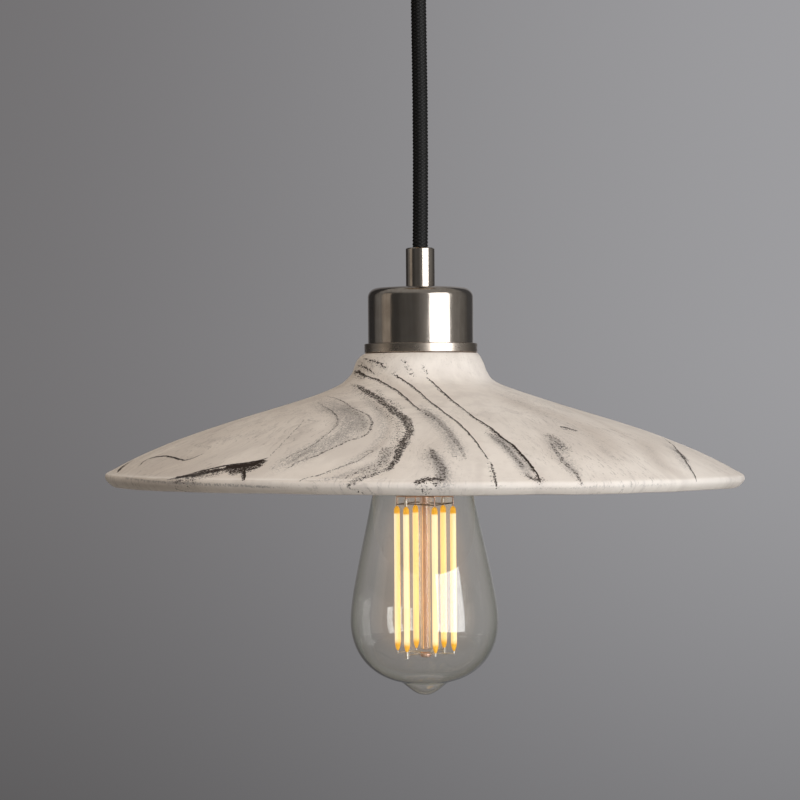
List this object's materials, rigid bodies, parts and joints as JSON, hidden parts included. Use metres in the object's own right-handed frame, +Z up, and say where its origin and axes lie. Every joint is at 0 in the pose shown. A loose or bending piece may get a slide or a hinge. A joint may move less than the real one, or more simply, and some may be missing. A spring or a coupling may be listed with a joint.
{
  "type": "ceramic pendant light",
  "caption": "Pendant light with a shallow marbled ceramic cone shade, metal lampholder cover, braided cord, ceiling rose and pear-shaped filament bulb.",
  "frame": {"origin": "on the ceiling, at the centre of the rose, midway between the two ceiling screws", "axes": "+Z up through the ceiling along the lamp's own axis; the light hangs towards -Z; +X along the row of ceiling screws; the picture looks along +Y"},
  "size_m": [0.2768, 0.2768, 0.3512],
  "materials": {
    "satin_nickel": "satin, warm grey antique nickel plate, finely turned",
    "zinc_steel": "bright zinc plate",
    "nickel_plate": "bright nickel plate",
    "brass": "plain turned brass",
    "white_nylon": "matt nylon",
    "black_braid": "tight black textile braid",
    "brown_core": "smooth insulation",
    "blue_core": "smooth insulation",
    "green_yellow_core": "smooth insulation",
    "white_porcelain": "glazed porcelain",
    "fibre_gasket": "pressed fibre",
    "marbled_clay": "matt marbled clay, cream with charcoal and grey veins",
    "black_vitrite": "opaque black glass",
    "circuit_board": "bare board",
    "clear_glass": "clear, polished",
    "stem_glass": "clear, polished",
    "glowing_filament": "lit, coated in clear yellow phosphor gel"
  },
  "bodies": {
    "ceiling_rose": {"canopy_cup": "satin_nickel", "ceiling_bracket": "zinc_steel", "canopy_side_screws": "satin_nickel", "terminal_block": "white_nylon", "terminal_clamps": "brass", "terminal_screws": "brass", "block_fixing_screw": "zinc_steel", "bracket_earth_terminal": "brass", "bracket_earth_screw": "brass", "rose_cord_grip": "satin_nickel", "rose_grip_stem": "zinc_steel", "rose_locknut": "zinc_steel", "rose_grip_collet": "white_nylon", "rose_grip_screw": "zinc_steel", "rose_cord_tail": "black_braid", "rose_live_core": "brown_core", "rose_neutral_core": "blue_core", "rose_earth_core": "green_yellow_core"},
    "cord": {"cord": "black_braid"},
    "lamp": {"lamp_cord_grip": "satin_nickel", "lamp_grip_stem": "zinc_steel", "lamp_grip_collet": "white_nylon", "lamp_grip_screw": "zinc_steel", "lamp_cord_tail": "black_braid", "lamp_live_core": "brown_core", "lamp_neutral_core": "blue_core", "lamp_earth_core": "green_yellow_core", "lampholder_cover": "satin_nickel", "cover_ring": "satin_nickel", "holder_cap": "nickel_plate", "holder_earth_terminal": "brass", "holder_insert": "white_porcelain", "holder_terminals": "brass", "holder_terminal_screws": "zinc_steel", "centre_contact": "brass", "side_contact": "brass", "holder_skirt": "nickel_plate", "upper_gasket": "fibre_gasket", "ceramic_shade": "marbled_clay", "lower_gasket": "fibre_gasket", "clamp_ring": "nickel_plate"},
    "bulb_tip": {"bulb_contact": "nickel_plate", "bulb_insulator": "black_vitrite"},
    "bulb": {"bulb_screw_shell": "nickel_plate", "bulb_driver": "circuit_board", "bulb_glass": "clear_glass", "bulb_stem": "stem_glass", "filament_supports": "nickel_plate", "bulb_filaments": "glowing_filament"}
  },
  "joints": [
    {"name": "pendant_swing", "type": "hinge", "parent": "ceiling_rose", "child": "cord", "pos_m": [0, 0, -0.0425], "axis": [0, 1, 0], "range_deg": [-15, 15]},
    {"name": "lamp_tilt", "type": "hinge", "parent": "cord", "child": "lamp", "pos_m": [0, 0, -0.157], "axis": [1, 0, 0], "range_deg": [-15, 15]},
    {"name": "bulb_travel", "type": "slide", "parent": "lamp", "child": "bulb_tip", "axis": [0, 0, -1], "range_m": [0, 0.0146]},
    {"name": "bulb_turn", "type": "hinge", "parent": "bulb_tip", "child": "bulb", "pos_m": [0, 0, -0.22], "axis": [0, 0, -1], "range_deg": [0, 1440]}
  ],
  "couplings": [
    {"joint": "bulb_travel", "follows": "bulb_turn", "m_per_rad": 0.00057757}
  ]
}
